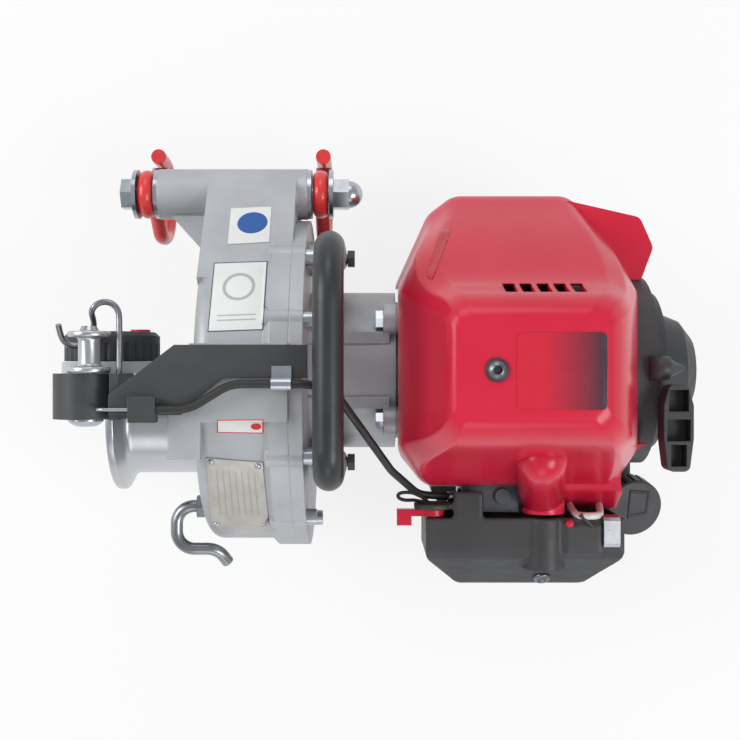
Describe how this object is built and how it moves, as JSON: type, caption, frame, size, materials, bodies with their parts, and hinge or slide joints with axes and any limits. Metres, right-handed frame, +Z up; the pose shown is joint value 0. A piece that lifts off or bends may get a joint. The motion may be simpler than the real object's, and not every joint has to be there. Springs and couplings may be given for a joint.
{
  "type": "capstan winch",
  "caption": "Portable petrol capstan winch: round alloy gear case with side drum, swivelling anchor hooks, carrying handle, rope guides and red-covered engine.",
  "frame": {"origin": "on the ground, at the middle of the gear case's flat foot", "axes": "+X along the drum and crank axes towards the engine, +Y towards the anchor hooks, +Z up"},
  "size_m": [0.393, 0.2832, 0.2466],
  "materials": {
    "cast_aluminium": "fine cast, satin",
    "polished_aluminium": "polished",
    "zinc_steel": "bright zinc plated",
    "gear_steel": "ground",
    "black_paint": "satin powder coat",
    "gloss_black": "gloss",
    "black_plastic": "fine texture",
    "grey_plastic": "satin",
    "dark_plastic": "satin",
    "red_plastic": "gloss",
    "red_paint": "gloss",
    "engine_alloy": "sand cast",
    "dark_steel": "heat darkened",
    "cable_jacket": "matt",
    "rope_fibre": "braided",
    "foam": "open cell"
  },
  "bodies": {
    "frame": {"gear_housing": "cast_aluminium", "gear_cover": "cast_aluminium", "cover_screws": "zinc_steel", "drum_bearings": "gear_steel", "shaft_bearings": "gear_steel", "clutch_housing": "cast_aluminium", "case_bolts": "zinc_steel", "anchor_bolt": "zinc_steel", "anchor_nut": "zinc_steel", "anchor_washers": "zinc_steel", "carry_handle": "gloss_black", "handle_bolts": "zinc_steel", "rope_arm": "black_paint", "control_housing": "black_paint", "control_bolt": "zinc_steel", "throttle_base": "grey_plastic", "pulley_axle": "zinc_steel", "pigtail_guide": "zinc_steel", "entry_hook": "zinc_steel", "entry_nut": "dark_steel", "throttle_cable": "cable_jacket", "throttle_wire": "zinc_steel", "cable_clip": "zinc_steel", "engine_block": "engine_alloy", "top_cover": "red_plastic", "top_cover_screw": "zinc_steel", "fan_cover": "red_plastic", "recoil_housing": "black_plastic", "muffler": "dark_steel", "carburettor": "engine_alloy", "air_cleaner": "black_plastic", "air_filter": "foam", "fuel_tank": "black_plastic"},
    "input": {"input_shaft": "gear_steel", "clutch_drum": "gear_steel"},
    "first": {"first_shaft": "gear_steel", "first_wheel": "gear_steel"},
    "second": {"second_shaft": "gear_steel", "second_wheel": "gear_steel"},
    "capstan": {"drum": "polished_aluminium", "drum_shaft": "gear_steel", "drum_bolt": "zinc_steel", "output_wheel": "gear_steel"},
    "crank": {"crankshaft": "gear_steel", "flywheel": "engine_alloy", "clutch_hub": "gear_steel", "clutch_shoes": "dark_steel"},
    "hook_left": {"left_hook": "red_paint"},
    "hook_right": {"right_hook": "red_paint"},
    "latch_left": {"left_latch": "zinc_steel"},
    "latch_right": {"right_latch": "zinc_steel"},
    "pulley": {"guide_pulley": "polished_aluminium"},
    "knob": {"throttle_knob": "black_plastic", "knob_index": "red_plastic"},
    "carb_lever": {"throttle_lever": "zinc_steel"},
    "choke": {"choke_lever": "red_plastic"},
    "starter": {"starter_handle": "black_plastic", "starter_rope": "rope_fibre"},
    "reel": {"starter_reel": "black_plastic"},
    "cap": {"fuel_cap": "dark_plastic"}
  },
  "joints": [
    {"name": "input_spin", "type": "hinge", "parent": "frame", "child": "input", "pos_m": [0.033, 0.008, 0.09999], "axis": [1, 0, 0], "continuous": true},
    {"name": "first_spin", "type": "hinge", "parent": "frame", "child": "first", "pos_m": [0.01, 0.02675, 0.13247], "axis": [1, 0, 0], "continuous": true},
    {"name": "second_spin", "type": "hinge", "parent": "frame", "child": "second", "pos_m": [0, -0.01825, 0.13184], "axis": [1, 0, 0], "continuous": true},
    {"name": "drum_spin", "type": "hinge", "parent": "frame", "child": "capstan", "pos_m": [-0.02, -0.0225, 0.07499], "axis": [1, 0, 0], "continuous": true},
    {"name": "crank_spin", "type": "hinge", "parent": "frame", "child": "crank", "pos_m": [0.14, 0.008, 0.09999], "axis": [1, 0, 0], "continuous": true},
    {"name": "left_hook_swing", "type": "hinge", "parent": "frame", "child": "hook_left", "pos_m": [-0.06685, 0.12019, 0.11199], "axis": [1, 0, 0], "range_deg": [-5, 120]},
    {"name": "right_hook_swing", "type": "hinge", "parent": "frame", "child": "hook_right", "pos_m": [0.04365, 0.12019, 0.11199], "axis": [1, 0, 0], "range_deg": [-5, 120]},
    {"name": "left_latch_open", "type": "hinge", "parent": "hook_left", "child": "latch_left", "pos_m": [-0.06685, 0.12869, 0.08999], "axis": [1, 0, 0], "range_deg": [-35, 0], "stiffness_Nm_per_rad": 0.02, "springref_deg": 20.05},
    {"name": "right_latch_open", "type": "hinge", "parent": "hook_right", "child": "latch_right", "pos_m": [0.04365, 0.12869, 0.08999], "axis": [1, 0, 0], "range_deg": [-35, 0], "stiffness_Nm_per_rad": 0.02, "springref_deg": 20.05},
    {"name": "pulley_spin", "type": "hinge", "parent": "frame", "child": "pulley", "pos_m": [-0.084, 0.018, 0.19649], "axis": [0, 1, 0], "continuous": true},
    {"name": "throttle_turn", "type": "hinge", "parent": "frame", "child": "knob", "pos_m": [-0.082, 0.018, 0.14599], "axis": [0, 1, 0], "range_deg": [0, 90]},
    {"name": "throttle_lever_turn", "type": "hinge", "parent": "frame", "child": "carb_lever", "pos_m": [0.1306, -0.063, 0.12199], "axis": [1, 0, 0], "range_deg": [-50, 0]},
    {"name": "choke_swing", "type": "hinge", "parent": "frame", "child": "choke", "pos_m": [0.114, -0.0795, 0.13999], "axis": [0, 1, 0], "range_deg": [0, 35]},
    {"name": "starter_pull", "type": "slide", "parent": "frame", "child": "starter", "axis": [0, 0, 1], "range_m": [0, 0.06], "stiffness_N_per_m": 60, "springref_m": -0.03},
    {"name": "reel_spin", "type": "hinge", "parent": "frame", "child": "reel", "pos_m": [0.2565, 0.008, 0.09999], "axis": [1, 0, 0], "range_deg": [-133, 0]},
    {"name": "cap_turn", "type": "hinge", "parent": "frame", "child": "cap", "pos_m": [0.25286, -0.08407, 0.06428], "axis": [0.1905, -0.2381, 0.9524], "range_deg": [0, 300]}
  ],
  "couplings": [
    {"joint": "first_spin", "follows": "input_spin", "ratio": -0.25},
    {"joint": "second_spin", "follows": "input_spin", "ratio": 0.0625},
    {"joint": "drum_spin", "follows": "input_spin", "ratio": -0.016667},
    {"joint": "throttle_lever_turn", "follows": "throttle_turn", "ratio": -0.55},
    {"joint": "reel_spin", "follows": "starter_pull", "rad_per_m": -38.462}
  ]
}
